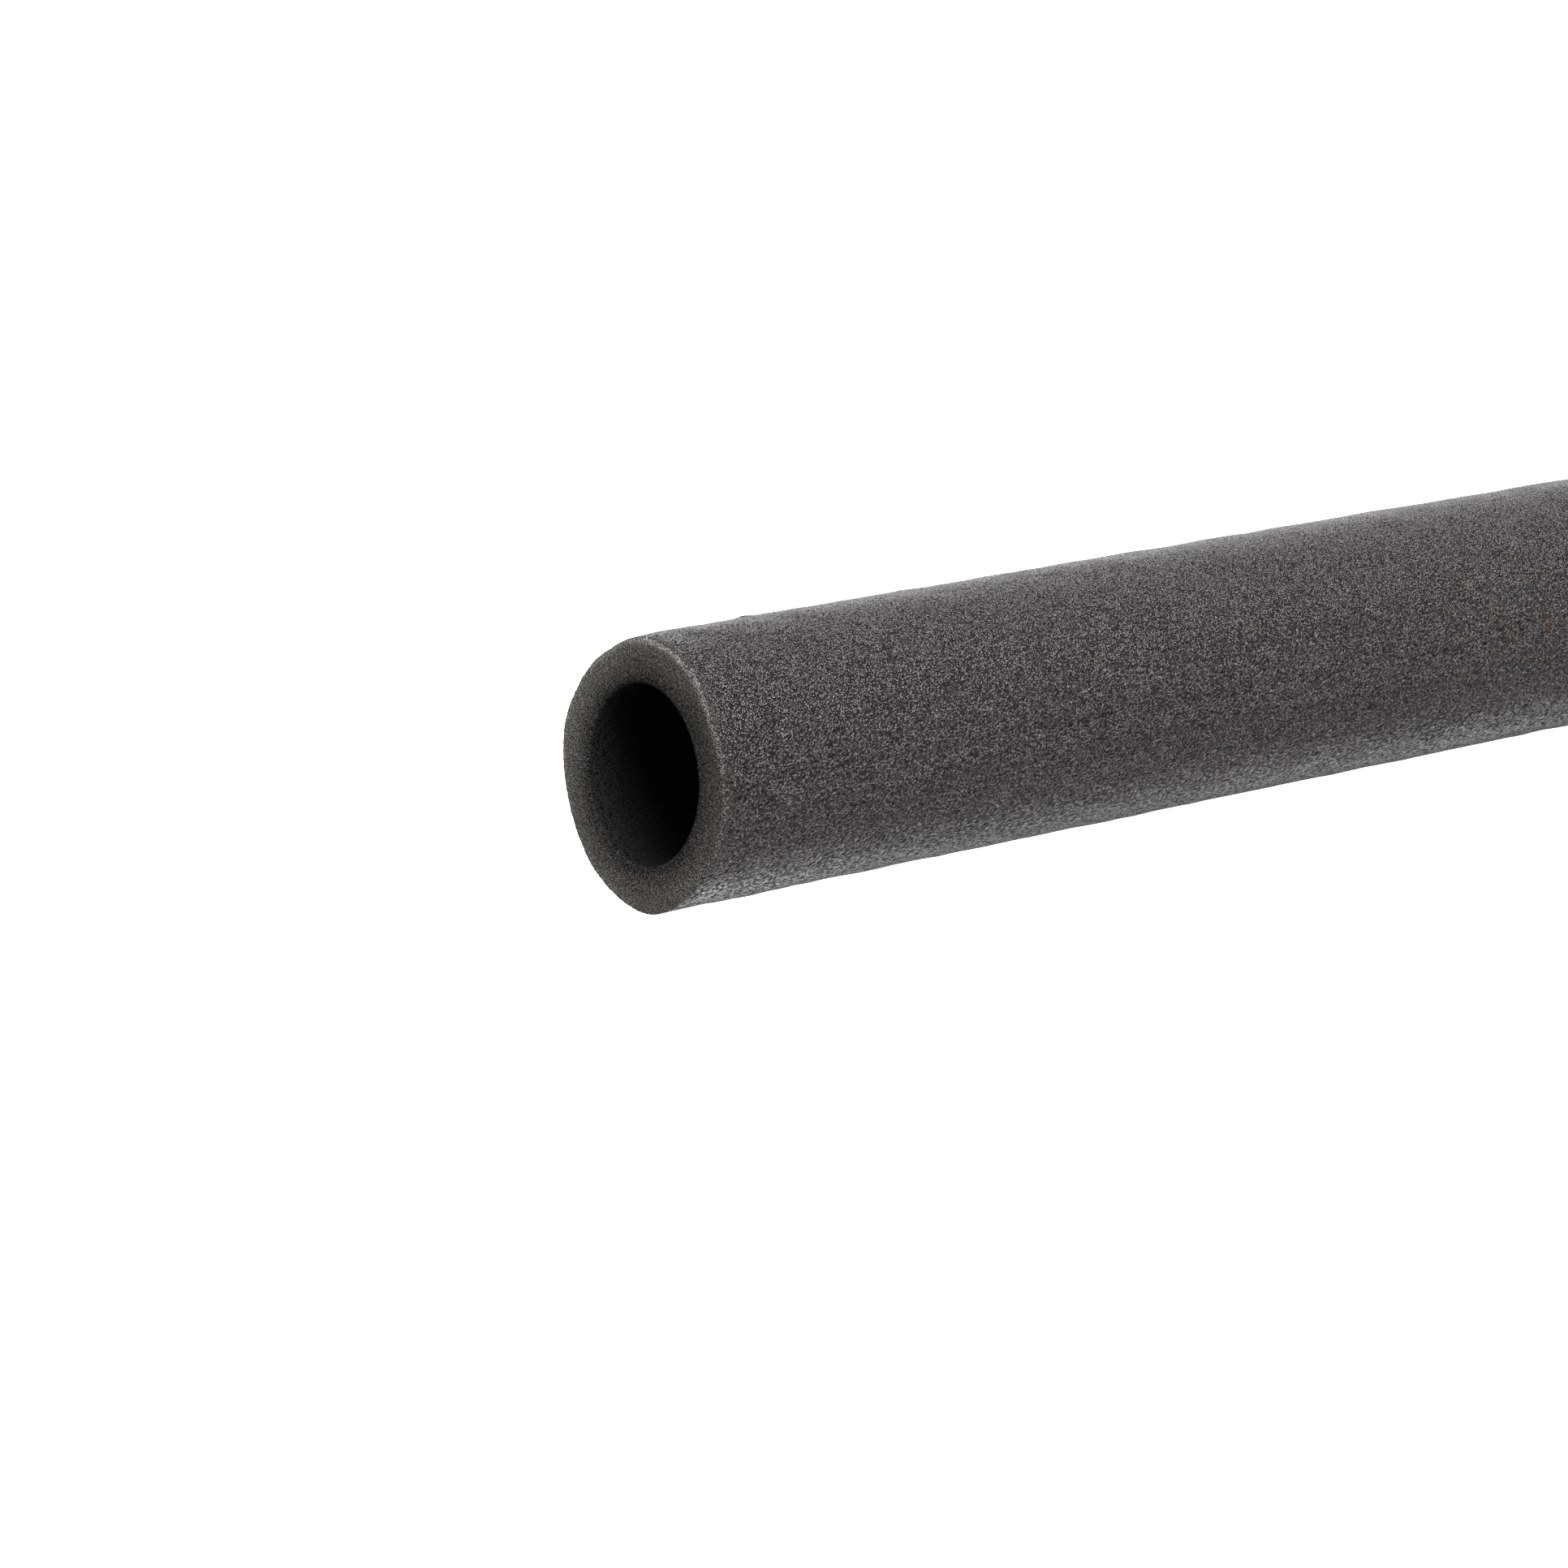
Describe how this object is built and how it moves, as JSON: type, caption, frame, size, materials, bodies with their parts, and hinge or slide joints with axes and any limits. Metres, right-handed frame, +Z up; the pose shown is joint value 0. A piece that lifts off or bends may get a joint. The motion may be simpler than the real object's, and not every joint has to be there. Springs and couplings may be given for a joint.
{
  "type": "pipe insulation lagging",
  "caption": "Straight length of closed-cell foam pipe lagging: a thick-walled round tube with square-cut ends and a fine score along its side.",
  "frame": {"origin": "on the floor, under the middle of the tube, which stands on one end", "axes": "+Z up along the tube; the end that shows in the picture is the top one, the side that is uppermost in the picture faces +X, and the score is 75 degrees round from there towards -Y"},
  "size_m": [0.053, 0.053, 1],
  "materials": {
    "grey_foam": "dark grey closed-cell polyethylene foam with a slightly waxy skin and fine visible cells"
  },
  "bodies": {
    "root": {"foam_tube": "grey_foam"}
  },
  "joints": []
}
